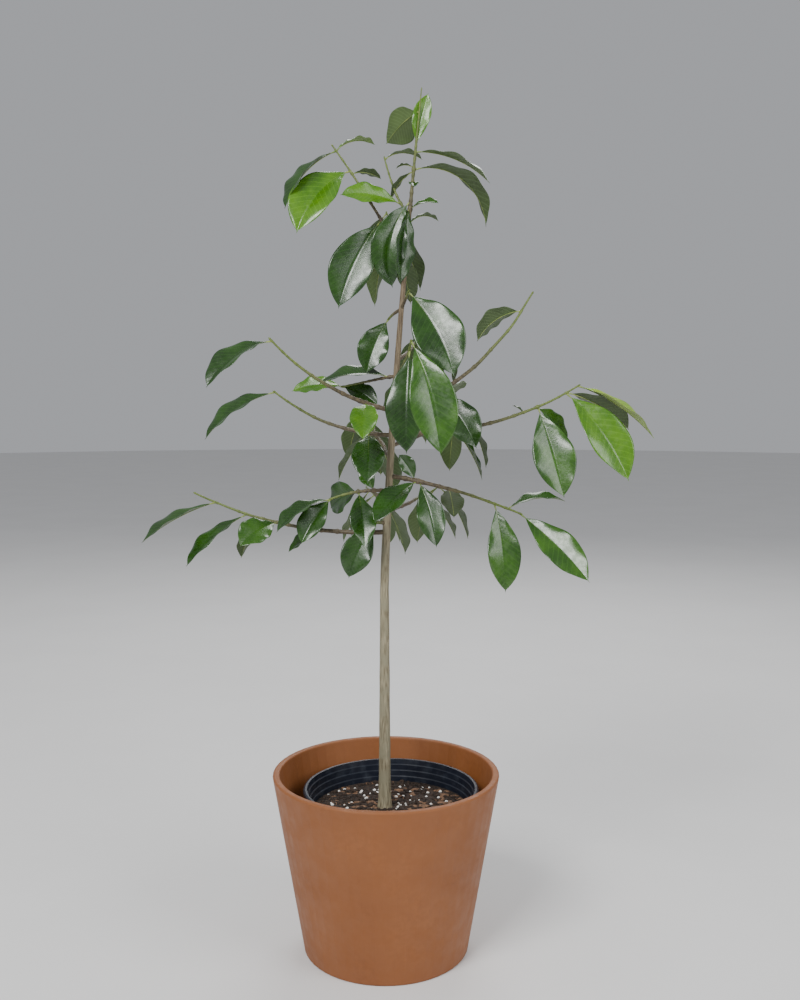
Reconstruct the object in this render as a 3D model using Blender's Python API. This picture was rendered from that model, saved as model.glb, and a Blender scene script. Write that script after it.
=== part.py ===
"""A young potted soursop tree: trunk, boughs and leafy sprays, in a nursery pot set inside a cover pot.

Metres, +Z up. The origin is the centre of the cover pot's underside. Seen from the front, +X is to the
right and +Y goes away from the viewer. Headings are degrees in plan: 0 right, 90 back, 180 left, 270 front.
"""

import math
import random
from collections import namedtuple

import bmesh
import bpy
import numpy as np

# Cover pot
COVER_RIM_RADIUS = 0.170
COVER_FOOT_RADIUS = 0.125
COVER_HEIGHT = 0.273
COVER_WALL = 0.0105
COVER_FLOOR = 0.012
COVER_EDGE_ROUND = 0.003

# Nursery pot, which stands on the cover pot's floor, a little off its centre
NURSERY_CENTRE_X = 0.0075
NURSERY_RIM_RADIUS = 0.1325
NURSERY_FOOT_RADIUS = 0.103
NURSERY_TOP = 0.248
NURSERY_WALL = 0.0025
NURSERY_LIP = 0.004
NURSERY_LIP_DEPTH = 0.006
NURSERY_LIP_EDGE = 0.001
NURSERY_LIP_SLOPE = 0.002
NURSERY_LIP_CREST = 0.003
NURSERY_LIP_DROP = 0.0003
NURSERY_STEPS = 3
NURSERY_STEP_PITCH = 0.009
NURSERY_STEP_DEPTH = 0.0014

# Soil
SOIL_TOP = 0.217
SOIL_FALL = 0.003
SOIL_FLAT_RADIUS = 0.03

POT_SIDES = 56
EDGE_POINTS = 4
SMOOTH_ANGLE = 35

# Trunk: upright at first, then leaning right
TRUNK_FOOT_X = -0.002
TRUNK_BEND_START = 0.55
TRUNK_LEAN = 0.053
TRUNK_LEAN_HEIGHT = 0.714
TRUNK_LEAN_POWER = 1.35
TRUNK_SWAY = 0.005
TRUNK_SWAY_LENGTH = 0.6
TRUNK_TOP = 1.078
TRUNK_FOOT_RADIUS = 0.0093
TRUNK_TOP_RADIUS = 0.0030
TRUNK_TAPER_POWER = 0.9
TRUNK_FLARE = 0.0026
TRUNK_FLARE_HEIGHT = 0.010
TRUNK_SIDES = 14
TRUNK_RINGS = 30
TRUNK_RING_POWER = 1.7

# Shoots
BOUGH_SIDES = 8
STEM_SIDES = 6
SHOOT_STEP = 0.012
SHOOT_SUMS = 16
SHOOT_SWAY = 0.0015
SHOOT_SWAY_LENGTH = 0.09

# Leaves
STALK_SHARE = 0.07
STALK_RADIUS = 0.0013
LEAF_THICKNESS_SHARE = 0.012
LEAF_FOLD = 16
LEAF_SHARES = (0.0, STALK_SHARE, 0.2, 0.4, 0.6, 0.8, 0.93, 1.0)
LEAF_SUMS = 32
LEAF_WIDEST_POWER = 1.2
LEAF_FULLNESS = 0.8
LEAF_BODY_END = 0.97
LEAF_TIP_SLOPE = 1.1

CLEARANCE = 0.0003

# Linear colour and roughness of each finish
COVER_FINISH = ((0.31, 0.125, 0.052), 0.55)
NURSERY_FINISH = ((0.008, 0.011, 0.020), 0.40)
SOIL_FINISH = ((0.022, 0.014, 0.010), 0.95)
TRUNK_FINISH = ((0.21, 0.17, 0.11), 0.75)
BOUGH_FINISH = ((0.10, 0.085, 0.035), 0.65)
LEAF_FINISH = ((0.035, 0.12, 0.015), 0.35)

Shoot = namedtuple("Shoot", "foot heading rise tip_rise length bare foot_radius tip_radius")
Leaf = namedtuple("Leaf", "place heading pitch length roll arch width")


def leaf(place, heading, pitch, length, roll=0, arch=30, width=0.40):
    """A leaf: its place along its shoot, where it heads, how its chord climbs, its length, and its roll."""
    return Leaf(place, heading, pitch, length, roll, arch, width)


# Height of the foot on the trunk, heading, climb at the foot and tip, length, bare length, two radii
SHOOTS = {
    "leader": Shoot(TRUNK_TOP, 0, 90, 90, 0.190, 0.0, 0.0029, 0.0008),
    "top_back": Shoot(1.093, 150, 50, 78, 0.095, 0.0, 0.0020, 0.0010),
    "top_left": Shoot(1.027, 170, 61, 54, 0.198, 0.055, 0.0028, 0.0011),
    "front_high": Shoot(0.960, 285, 45, 10, 0.050, 0.0, 0.0022, 0.0012),
    "back_high": Shoot(0.960, 125, -15, -30, 0.036, 0.0, 0.0022, 0.0012),
    "front": Shoot(0.830, 281, 38, 26, 0.150, 0.100, 0.0032, 0.0014),
    "right_high": Shoot(0.806, 28, 18, 57, 0.312, 0.065, 0.0040, 0.0014),
    "right": Shoot(0.781, 12, -3, 30, 0.300, 0.180, 0.0042, 0.0013),
    "right_low": Shoot(0.718, -12, -8, -22, 0.200, 0.034, 0.0036, 0.0014),
    "left_high": Shoot(0.813, 195, 12, 47, 0.210, 0.035, 0.0036, 0.0014),
    "left_back": Shoot(0.864, 145, -8, -10, 0.100, 0.0, 0.0024, 0.0012),
    "left": Shoot(0.778, 165, 0, 38, 0.196, 0.028, 0.0034, 0.0014),
    "left_inner": Shoot(0.696, 172, 4, -22, 0.090, 0.014, 0.0030, 0.0014),
    "front_low": Shoot(0.648, 205, 10, 0, 0.020, 0.0, 0.0022, 0.0013),
    "left_low": Shoot(0.635, 176, -4, 26, 0.294, 0.088, 0.0038, 0.0013),
    "back_top": Shoot(1.000, 100, 34, 44, 0.190, 0.050, 0.0028, 0.0012),
    "back_middle": Shoot(0.885, 76, 12, 24, 0.235, 0.060, 0.0032, 0.0013),
    "back": Shoot(0.800, 84, 18, 32, 0.225, 0.060, 0.0034, 0.0013),
    "back_right": Shoot(0.762, 58, 8, 14, 0.225, 0.060, 0.0034, 0.0013),
    "back_left": Shoot(0.745, 102, 12, 24, 0.215, 0.050, 0.0034, 0.0013),
    "back_low": Shoot(0.690, 100, -8, 4, 0.220, 0.060, 0.0036, 0.0013),
    "back_low_right": Shoot(0.665, 64, 4, 10, 0.190, 0.055, 0.0034, 0.0013),
}

LEAVES = {
    "leader": [
        leaf(0.160, 125, -20, 0.090, roll=68, width=0.60),
        leaf(0.112, 20, 76, 0.078, roll=65, arch=10, width=0.36),
        leaf(0.105, 350, -24, 0.120, roll=5, arch=45),
        leaf(0.080, 15, -35, 0.155, arch=105, width=0.36),
        leaf(0.025, 330, 5, 0.048, roll=30, arch=50),
        leaf(0.003, 20, 8, 0.052, arch=90),
        leaf(0.082, 170, 0, 0.028, arch=80),
        leaf(0.078, 150, -45, 0.055, arch=50, width=0.32),
        leaf(0.062, 275, -25, 0.025, width=0.60),
        leaf(0.036, 205, -77, 0.135, roll=-65, arch=65, width=0.40),
        leaf(0.030, 235, -78, 0.118, roll=-88, arch=30),
    ],
    "top_back": [leaf(0.094, 20, 3, 0.062, arch=70), leaf(0.022, 198, 5, 0.092, roll=-60)],
    "top_left": [
        leaf(0.190, 212, -47, 0.125, arch=45),
        leaf(0.190, 30, 13, 0.070, arch=65),
        leaf(0.155, 222, -45, 0.142, roll=-38, arch=50, width=0.46),
        leaf(0.150, 25, -5, 0.048, roll=-20, arch=50),
        leaf(0.070, 206, -62, 0.147, roll=-62, width=0.44),
    ],
    "front_high": [leaf(0.045, 318, -55, 0.148, roll=45, width=0.50)],
    "back_high": [leaf(0.034, 215, -64, 0.090, roll=-55, width=0.52)],
    "front": [leaf(0.150, 318, -71, 0.163, roll=48, width=0.40), leaf(0.125, 262, -78, 0.145, roll=10)],
    "right_high": [
        leaf(0.080, 322, -48, 0.107, roll=50, width=0.50),
        leaf(0.105, 84, -8, 0.100, width=0.50),
        leaf(0.278, 190, -34, 0.088, roll=45, arch=60, width=0.50),
    ],
    "right": [
        leaf(0.205, 160, 30, 0.020, width=0.60),
        leaf(0.225, 35, -38, 0.085, roll=65),
        leaf(0.228, 308, -67, 0.145, roll=38, arch=8, width=0.45),
        leaf(0.277, 335, -53, 0.165, roll=50),
        leaf(0.279, 20, -28, 0.125, roll=-20),
        leaf(0.300, 5, -34, 0.145, roll=12),
    ],
    "right_low": [
        leaf(0.038, 175, 58, 0.045, roll=-80, width=0.55),
        leaf(0.042, 225, -32, 0.105, roll=-25),
        leaf(0.045, 300, -62, 0.105, roll=30),
        leaf(0.090, 80, -38, 0.082, width=0.45),
        leaf(0.160, 298, -76, 0.130, roll=25, width=0.38),
        leaf(0.180, 10, 6, 0.090, roll=10, arch=50),
        leaf(0.200, 320, -37, 0.145, roll=40, arch=12, width=0.36),
    ],
    "left_high": [
        leaf(0.043, 268, -38, 0.085, arch=50, width=0.50),
        leaf(0.207, 215, -33, 0.125, roll=-15, arch=50),
    ],
    "left_back": [
        leaf(0.010, 165, -6, 0.115, roll=-22, arch=42),
        leaf(0.098, 165, -5, 0.084, roll=-48),
        leaf(0.100, 335, -24, 0.066, roll=60, width=0.50),
    ],
    "left": [leaf(0.035, 270, -43, 0.100, width=0.50), leaf(0.196, 180, -34, 0.130, roll=-25, arch=40)],
    "left_inner": [
        leaf(0.022, 150, 52, 0.040, roll=-60, width=0.60),
        leaf(0.045, 280, -50, 0.100),
        leaf(0.046, 130, -24, 0.075, roll=-80, width=0.70),
        leaf(0.088, 222, -48, 0.085, roll=-40, width=0.48),
        leaf(0.090, 210, -27, 0.100, roll=-10, arch=50),
    ],
    "front_low": [leaf(0.018, 200, -62, 0.092, roll=-68, width=0.52)],
    "left_low": [
        leaf(0.097, 170, -34, 0.062, roll=-40),
        leaf(0.165, 228, -22, 0.078, roll=-35, width=0.62),
        leaf(0.188, 140, -54, 0.080),
        leaf(0.212, 217, -35, 0.122, arch=25, width=0.37),
        leaf(0.262, 207, -26, 0.125, arch=25, width=0.37),
    ],
}


# The shoots at the back carry leaves by rule: how many, from what share of their length, and the seed
RULED_SHOOTS = {
    "back_top": (4, 0.55, 3),
    "back_middle": (5, 0.40, 7),
    "back": (5, 0.40, 8),
    "back_right": (3, 0.75, 13),
    "back_left": (4, 0.50, 21),
    "back_low": (5, 0.40, 34),
    "back_low_right": (3, 0.70, 55),
}
# A ruled leaf's turn from its shoot, climb, length, roll and width share
RULED_TURN = (35, 75)
RULED_PITCH = (-72, -52)
RULED_LENGTH = (0.088, 0.120)
RULED_ROLL = (-25, 25)
RULED_WIDTH = (0.38, 0.44)
LIMB_ROOM = 0.003
LEAF_ROOM = 0.010
TEST_SHARES = 10
TRUNK_TESTS = 200
SHOOT_TESTS = 60

# Each mass of foliage and the shoots whose stems and leaves it holds
MASSES = {
    "foliage_leader": ["leader", "top_back"],
    "foliage_top_left": ["top_left"],
    "foliage_front_high": ["front_high"],
    "foliage_back_high": ["back_high"],
    "foliage_front": ["front"],
    "foliage_right_high": ["right_high"],
    "foliage_right": ["right"],
    "foliage_right_low": ["right_low"],
    "foliage_left_high": ["left_high"],
    "foliage_left_back": ["left_back"],
    "foliage_left": ["left"],
    "foliage_left_inner": ["left_inner"],
    "foliage_front_low": ["front_low"],
    "foliage_left_low": ["left_low"],
    "foliage_back_top": ["back_top"],
    "foliage_back_middle": ["back_middle"],
    "foliage_back": ["back"],
    "foliage_back_right": ["back_right"],
    "foliage_back_left": ["back_left"],
    "foliage_back_low": ["back_low"],
    "foliage_back_low_right": ["back_low_right"],
}


def direction(heading, pitch):
    """Unit vector that heads so many degrees in plan and climbs so many degrees."""
    h, p = math.radians(heading), math.radians(pitch)
    return np.array([math.cos(p) * math.cos(h), math.cos(p) * math.sin(h), math.sin(p)])


def trunk_point(height):
    """Centre of the trunk at a height."""
    rise = max(0.0, (height - TRUNK_BEND_START) / TRUNK_LEAN_HEIGHT)
    sway = TRUNK_SWAY * math.sin(math.pi * (height - SOIL_TOP) / TRUNK_SWAY_LENGTH) ** 2
    return np.array([TRUNK_FOOT_X + TRUNK_LEAN * rise**TRUNK_LEAN_POWER, sway, height])


def trunk_radius(height):
    """Radius of the trunk at a height, with the flare at its foot."""
    share = (height - SOIL_TOP) / (TRUNK_TOP - SOIL_TOP)
    flare = TRUNK_FLARE * math.exp(-(height - SOIL_TOP) / TRUNK_FLARE_HEIGHT)
    taper = (TRUNK_TOP_RADIUS - TRUNK_FOOT_RADIUS) * share**TRUNK_TAPER_POWER
    return TRUNK_FOOT_RADIUS + taper + flare


def shoot_point(name, place):
    """Centre of a shoot at a distance along it."""
    shoot = SHOOTS[name]
    if name == "leader":
        return trunk_point(shoot.foot + place)
    point = trunk_point(shoot.foot)
    for step in range(SHOOT_SUMS):
        share = place / shoot.length * (step + 0.5) / SHOOT_SUMS
        pitch = shoot.rise + (shoot.tip_rise - shoot.rise) * share
        point = point + direction(shoot.heading, pitch) * place / SHOOT_SUMS
    across = direction(shoot.heading + 90, 0)
    return point + across * SHOOT_SWAY * math.sin(2 * math.pi * place / SHOOT_SWAY_LENGTH)


def shoot_radius(name, place):
    shoot = SHOOTS[name]
    return shoot.foot_radius + (shoot.tip_radius - shoot.foot_radius) * place / shoot.length


def leaf_frame(base, blade, shares):
    """Points on a leaf's midrib at shares of its length, with the sideways and the upward directions."""
    fine = np.linspace(0.0, 1.0, LEAF_SUMS + 1)
    pitch = np.radians(blade.pitch + blade.arch * (0.5 - fine))
    heading = math.radians(blade.heading)
    flat = np.array([math.cos(heading), math.sin(heading), 0.0])
    along = np.outer(np.cos(pitch), flat) + np.outer(np.sin(pitch), (0.0, 0.0, 1.0))
    steps = (along[1:] + along[:-1]) / 2 * blade.length / LEAF_SUMS
    line = base + np.vstack([np.zeros(3), np.cumsum(steps, axis=0)])
    points = np.stack([np.interp(shares, fine, line[:, axis]) for axis in range(3)], axis=1)
    tangents = np.stack([np.interp(shares, fine, along[:, axis]) for axis in range(3)], axis=1)
    level = np.array([-math.sin(heading), math.cos(heading), 0.0])
    roll = math.radians(blade.roll)
    side = level * math.cos(roll) + np.cross(tangents, level) * math.sin(roll)
    return points, side, np.cross(tangents, side)


def half_width(blade, shares):
    """Half a leaf's width: a wedge at the base, widest past the middle, with a short sharp tip."""
    share = np.clip((np.asarray(shares) - STALK_SHARE) / (1 - STALK_SHARE), 0.0, 1.0)
    swell = np.clip(share / LEAF_BODY_END, 0.0, 1.0) ** LEAF_WIDEST_POWER
    body = np.sin(np.pi * swell).clip(0.0) ** LEAF_FULLNESS
    tip = LEAF_TIP_SLOPE * (1 - share) * (share > 0.5)
    return blade.length * blade.width / 2 * np.maximum(body, tip)


def blade_points(name, blade):
    """Points spread over a leaf, to tell whether it touches something."""
    shares = np.linspace(0.1, 1.0, TEST_SHARES)
    points, side, normal = leaf_frame(shoot_point(name, blade.place), blade, shares)
    reach = half_width(blade, shares)[:, None]
    out = side * reach * math.cos(math.radians(LEAF_FOLD))
    rise = normal * reach * math.sin(math.radians(LEAF_FOLD))
    return np.vstack([points + out * across + rise * abs(across) for across in (-1.0, -0.5, 0.0, 0.5, 1.0)])


def limb_points():
    """Points along the trunk and every shoot, each with the limb's radius."""
    points = [trunk_point(height) for height in np.linspace(SOIL_TOP, TRUNK_TOP, TRUNK_TESTS)]
    radii = [trunk_radius(point[2]) for point in points]
    for name, shoot in SHOOTS.items():
        for place in np.linspace(0.0, shoot.length, SHOOT_TESTS):
            points.append(shoot_point(name, place))
            radii.append(shoot_radius(name, place))
    return np.array(points), np.array(radii)


def gap(first, second):
    """Distances between every point of one set and every point of another."""
    return np.linalg.norm(first[:, None, :] - second[None, :, :], axis=2)


def ruled_leaves(name, taken, limbs):
    """Leaves along a shoot's outer part, left and right in turn, without those that would touch something."""
    count, first_share, seed = RULED_SHOOTS[name]
    shoot = SHOOTS[name]
    dice = random.Random(seed)
    leaves = []
    for index in range(count):
        place = shoot.length * (first_share + (1 - first_share) * index / (count - 1))
        turn = dice.uniform(*RULED_TURN) * (1 if index % 2 else -1)
        blade = leaf(place, shoot.heading + turn, dice.uniform(*RULED_PITCH), dice.uniform(*RULED_LENGTH))
        blade = blade._replace(roll=dice.uniform(*RULED_ROLL), width=dice.uniform(*RULED_WIDTH))
        points = blade_points(name, blade)
        near_limb = (gap(points, limbs[0]) - limbs[1]).min() < LIMB_ROOM
        if near_limb or gap(points, taken).min() < LEAF_ROOM:
            continue
        leaves.append(blade)
        taken = np.vstack([taken, points])
    return leaves, taken


def all_leaves():
    """Every shoot's leaves: those set by hand, and then those that follow the rule."""
    limbs = limb_points()
    leaves = dict(LEAVES)
    taken = np.vstack([blade_points(name, blade) for name in leaves for blade in leaves[name]])
    for name in RULED_SHOOTS:
        leaves[name], taken = ruled_leaves(name, taken, limbs)
    return leaves


def material(name, look):
    """A plain material of a linear colour and a roughness."""
    colour, roughness = look
    finish = bpy.data.materials.new(name)
    finish.use_nodes = True
    shader = finish.node_tree.nodes["Principled BSDF"]
    shader.inputs["Base Color"].default_value = (*colour, 1.0)
    shader.inputs["Roughness"].default_value = roughness
    shader.inputs["Metallic"].default_value = 0.0
    finish.diffuse_color = (*colour, 1.0)
    return finish


def add_object(name, mesh, finish):
    obj = bpy.data.objects.new(name, mesh)
    mesh.materials.append(finish)
    bpy.context.scene.collection.objects.link(obj)
    return obj


def mesh_from(name, vertices, faces):
    mesh = bpy.data.meshes.new(name)
    mesh.from_pydata([tuple(vertex) for vertex in vertices], [], faces)
    mesh.validate()
    return mesh


def tube_mesh(name, points, radii, sides):
    """A tapering tube along some points, with flat ends square to its path."""
    points = np.asarray(points)
    tangents = np.gradient(points, axis=0)
    tangents /= np.linalg.norm(tangents, axis=1)[:, None]
    across = np.cross(tangents[0], (0.0, 1.0, 0.0) if abs(tangents[0][2]) > 0.5 else (0.0, 0.0, 1.0))
    vertices, faces = [], []
    for index, (point, tangent, radius) in enumerate(zip(points, tangents, radii)):
        across = across - tangent * np.dot(across, tangent)
        across /= np.linalg.norm(across)
        other = np.cross(tangent, across)
        for side in range(sides):
            angle = 2 * math.pi * side / sides
            vertices.append(point + (across * math.cos(angle) + other * math.sin(angle)) * radius)
        if index:
            low, high = (index - 1) * sides, index * sides
            for side in range(sides):
                after = (side + 1) % sides
                faces.append((low + side, low + after, high + after, high + side))
    faces.append(tuple(reversed(range(sides))))
    faces.append(tuple(range(len(vertices) - sides, len(vertices))))
    return mesh_from(name, vertices, faces)


def leaf_mesh(name, base, blade):
    """A leaf as one closed solid: a square stalk, then a folded blade with a sharp edge all round."""
    points, side, normal = leaf_frame(base, blade, LEAF_SHARES)
    reach = half_width(blade, LEAF_SHARES)
    depth = LEAF_THICKNESS_SHARE * blade.length / 2
    fold = math.radians(LEAF_FOLD)
    vertices, faces = [], []
    for index, share in enumerate(LEAF_SHARES[:-1]):
        out, rise, thick = reach[index] * math.cos(fold), reach[index] * math.sin(fold), depth
        if share <= STALK_SHARE:
            out, rise, thick = STALK_RADIUS, 0.0, STALK_RADIUS
        middle = points[index]
        vertices.append(middle + side[index] * out + normal[index] * rise)
        vertices.append(middle + normal[index] * thick)
        vertices.append(middle - side[index] * out + normal[index] * rise)
        vertices.append(middle - normal[index] * thick)
    vertices.append(points[-1])
    rings = len(LEAF_SHARES) - 1
    for ring in range(rings - 1):
        for corner in range(4):
            after = (corner + 1) % 4
            low, high = ring * 4, ring * 4 + 4
            faces.append((low + corner, low + after, high + after, high + corner))
    last = (rings - 1) * 4
    for corner in range(4):
        faces.append((last + corner, last + (corner + 1) % 4, rings * 4))
    faces.append((3, 2, 1, 0))
    return mesh_from(name, vertices, faces)


def apply_modifier(obj, modifier):
    with bpy.context.temp_override(object=obj, active_object=obj):
        bpy.ops.object.modifier_apply(modifier=modifier.name)


def cut_clear(obj, cutter):
    """Cut an object back to where it just clears another's fattened copy."""
    cut = obj.modifiers.new("seat", "BOOLEAN")
    cut.operation = "DIFFERENCE"
    cut.object = cutter
    cut.solver = "EXACT"
    apply_modifier(obj, cut)


def fuse(target, parts):
    """Join a mass's parts to its stem with one Boolean union on a collection, then remove them."""
    group = bpy.data.collections.new(target.name + "_parts")
    bpy.context.scene.collection.children.link(group)
    for part in parts:
        group.objects.link(part)
        bpy.context.scene.collection.objects.unlink(part)
    join = target.modifiers.new("join", "BOOLEAN")
    join.operation = "UNION"
    join.operand_type = "COLLECTION"
    join.collection = group
    join.solver = "EXACT"
    apply_modifier(target, join)
    for part in parts:
        bpy.data.objects.remove(part)
    bpy.data.collections.remove(group)


def stretch(name, start, end):
    """Centres and radii along a shoot, from one distance to another."""
    count = max(3, round((end - start) / SHOOT_STEP) + 1)
    places = np.linspace(start, end, count)
    return [shoot_point(name, place) for place in places], [shoot_radius(name, place) for place in places]


def trunk_rings(extra):
    """Centres and radii up the trunk, closer together at its foot, made thicker by an extra radius."""
    foot = SOIL_TOP + CLEARANCE
    heights = foot + (TRUNK_TOP - foot) * np.linspace(0.0, 1.0, TRUNK_RINGS) ** TRUNK_RING_POWER
    return [trunk_point(height) for height in heights], [trunk_radius(height) + extra for height in heights]


def make_trunk(finish):
    add_object("trunk", tube_mesh("trunk", *trunk_rings(0.0), TRUNK_SIDES), finish)


def make_bough(name, finish, cutter):
    """The bare part of a shoot, seated against the trunk."""
    points, radii = stretch(name, 0.0, SHOOTS[name].bare)
    mesh = tube_mesh("bough_" + name, points, radii, BOUGH_SIDES)
    cut_clear(add_object("bough_" + name, mesh, finish), cutter)


def make_mass(name, shoots, leaves, finish, cutter):
    """A mass of foliage: its stem and side stems, with every leaf of theirs fused on."""
    parts = []
    for shoot_name in shoots:
        shoot = SHOOTS[shoot_name]
        start = shoot.bare + CLEARANCE if shoot.bare or shoot_name == "leader" else 0.0
        points, radii = stretch(shoot_name, start, shoot.length)
        stem = add_object(name, tube_mesh(name, points, radii, STEM_SIDES), finish)
        if not shoot.bare and shoot.foot < TRUNK_TOP:
            cut_clear(stem, cutter)
        parts.append(stem)
        for index, blade in enumerate(leaves[shoot_name]):
            mesh = leaf_mesh(f"{name}_leaf_{index}", shoot_point(shoot_name, blade.place), blade)
            parts.append(add_object(mesh.name, mesh, finish))
    fuse(parts[0], parts[1:])


def arc(centre_radius, centre_height, radius, start, end):
    """Points of a round edge on a turned profile."""
    angles = np.radians(np.linspace(start, end, EDGE_POINTS))
    return [(centre_radius + radius * math.cos(a), centre_height + radius * math.sin(a)) for a in angles]


def turned(name, profile, centre_x, finish):
    """A solid turned about an upright axis, from a profile that starts and ends on the axis."""
    bm = bmesh.new()
    corners = [bm.verts.new((centre_x + radius, 0.0, height)) for radius, height in profile]
    edges = [bm.edges.new(pair) for pair in zip(corners, corners[1:])]
    bmesh.ops.spin(
        bm, geom=corners + edges, cent=(centre_x, 0.0, 0.0), axis=(0.0, 0.0, 1.0),
        angle=2 * math.pi, steps=POT_SIDES, use_duplicate=False,
    )
    bmesh.ops.remove_doubles(bm, verts=bm.verts, dist=1e-6)
    bmesh.ops.recalc_face_normals(bm, faces=bm.faces)
    mesh = bpy.data.meshes.new(name)
    bm.to_mesh(mesh)
    bm.free()
    mesh.shade_smooth()
    mesh.set_sharp_from_angle(angle=math.radians(SMOOTH_ANGLE))
    return add_object(name, mesh, finish)


def make_cover_pot(finish):
    """The cover pot: a plain tapering wall with soft edges and a flat foot."""
    edge = COVER_EDGE_ROUND
    taper = (COVER_RIM_RADIUS - COVER_FOOT_RADIUS) / COVER_HEIGHT
    profile = [(0.0, 0.0)]
    profile += arc(COVER_FOOT_RADIUS - edge, edge, edge, -90, 0)
    profile += arc(COVER_RIM_RADIUS - edge, COVER_HEIGHT - edge, edge, 0, 90)
    profile += arc(COVER_RIM_RADIUS - COVER_WALL + edge, COVER_HEIGHT - edge, edge, 90, 180)
    profile.append((COVER_FOOT_RADIUS - COVER_WALL + taper * COVER_FLOOR, COVER_FLOOR))
    profile.append((0.0, COVER_FLOOR))
    turned("cover_pot", profile, 0.0, finish)


def nursery_inner_radius(height):
    """Inside of the nursery pot's wall below its stepped rim."""
    share = (height - COVER_FLOOR) / (NURSERY_TOP - COVER_FLOOR)
    top = NURSERY_RIM_RADIUS - NURSERY_LIP - NURSERY_WALL - NURSERY_STEPS * NURSERY_STEP_DEPTH
    foot = NURSERY_FOOT_RADIUS - NURSERY_WALL
    return foot + (top - foot) * share


def make_nursery_pot(finish):
    """The nursery pot: a thin wall, stepped out three times under its rolled lip."""
    foot = COVER_FLOOR + CLEARANCE
    steps_from = NURSERY_TOP - NURSERY_STEPS * NURSERY_STEP_PITCH
    inside = [(nursery_inner_radius(foot), foot + NURSERY_WALL)]
    for step in range(NURSERY_STEPS):
        height = steps_from + step * NURSERY_STEP_PITCH
        radius = nursery_inner_radius(height) + step * NURSERY_STEP_DEPTH
        inside.append((radius, height))
        inside.append((radius + NURSERY_STEP_DEPTH, height + NURSERY_STEP_DEPTH))
    outside = [(radius + NURSERY_WALL, height) for radius, height in inside]
    outside[0] = (NURSERY_FOOT_RADIUS, foot)
    lip_foot = NURSERY_TOP - NURSERY_LIP_DEPTH
    lip_side = NURSERY_RIM_RADIUS - NURSERY_LIP_EDGE
    outside += [(outside[-1][0], lip_foot), (lip_side, lip_foot)]
    outside.append((NURSERY_RIM_RADIUS, lip_foot + NURSERY_LIP_SLOPE))
    outside.append((lip_side, NURSERY_TOP - NURSERY_LIP_EDGE))
    crest = [(NURSERY_RIM_RADIUS - NURSERY_LIP_CREST, NURSERY_TOP)]
    crest.append((inside[-1][0] + NURSERY_WALL / 2, NURSERY_TOP - NURSERY_LIP_DROP))
    profile = [(0.0, foot)] + outside + crest + inside[::-1] + [(0.0, foot + NURSERY_WALL)]
    turned("nursery_pot", profile, NURSERY_CENTRE_X, finish)


def make_soil(finish):
    """The soil that fills the nursery pot, flat about the trunk and falling a little towards the wall."""
    foot = COVER_FLOOR + NURSERY_WALL + 2 * CLEARANCE
    side_height = SOIL_TOP - SOIL_FALL
    profile = [(0.0, foot), (nursery_inner_radius(foot) - CLEARANCE, foot)]
    profile += [(nursery_inner_radius(side_height) - CLEARANCE, side_height)]
    profile += [(SOIL_FLAT_RADIUS, SOIL_TOP), (0.0, SOIL_TOP)]
    turned("soil", profile, NURSERY_CENTRE_X, finish)


def clear_scene():
    for obj in list(bpy.data.objects):
        bpy.data.objects.remove(obj)


def build():
    clear_scene()
    make_cover_pot(material("cover_pot", COVER_FINISH))
    make_nursery_pot(material("nursery_pot", NURSERY_FINISH))
    make_soil(material("soil", SOIL_FINISH))
    bark = material("trunk", TRUNK_FINISH)
    make_trunk(bark)
    fattened = tube_mesh("trunk_clearance", *trunk_rings(CLEARANCE), TRUNK_SIDES)
    cutter = add_object("trunk_clearance", fattened, bark)
    for name, shoot in SHOOTS.items():
        if shoot.bare:
            make_bough(name, material("bough_" + name, BOUGH_FINISH), cutter)
    leaves = all_leaves()
    for name, shoots in MASSES.items():
        make_mass(name, shoots, leaves, material(name, LEAF_FINISH), cutter)
    bpy.data.objects.remove(cutter)


build()
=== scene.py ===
"""The look of a young potted soursop tree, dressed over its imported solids.

Metres, +Z up. The origin is the centre of the cover pot's underside. Seen from the front, +X is to the
right and +Y goes away from the viewer. Headings are degrees in plan: 0 right, 90 back, 180 left, 270 front.
"""

import math
import random
from collections import namedtuple

import bmesh
import bpy
import numpy as np
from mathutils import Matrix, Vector, noise


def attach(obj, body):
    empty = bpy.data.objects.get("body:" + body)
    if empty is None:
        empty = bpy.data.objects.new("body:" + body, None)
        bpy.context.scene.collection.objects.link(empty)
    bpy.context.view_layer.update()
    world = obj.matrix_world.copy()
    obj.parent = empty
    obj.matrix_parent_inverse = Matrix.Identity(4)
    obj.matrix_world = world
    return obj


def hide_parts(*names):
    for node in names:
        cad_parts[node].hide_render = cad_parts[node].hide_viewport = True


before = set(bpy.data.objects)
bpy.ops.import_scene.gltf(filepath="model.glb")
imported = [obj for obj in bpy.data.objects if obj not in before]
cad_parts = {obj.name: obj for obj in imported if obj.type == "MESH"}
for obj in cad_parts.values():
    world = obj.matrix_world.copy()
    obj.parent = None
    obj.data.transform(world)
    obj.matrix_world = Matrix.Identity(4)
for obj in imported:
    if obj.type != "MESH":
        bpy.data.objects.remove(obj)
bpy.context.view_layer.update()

# Camera
CAMERA_PLACE = (0.021, -1.632, 0.846)
CAMERA_DIP = 5.72
CAMERA_LENS = 40.15
CAMERA_FILM = 36

# Soil
NURSERY_CENTRE_X = 0.0075
SOIL_TOP = 0.217
SOIL_RADIUS = 0.1185
SOIL_FALL = 0.003
SOIL_FLAT_RADIUS = 0.03

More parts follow.
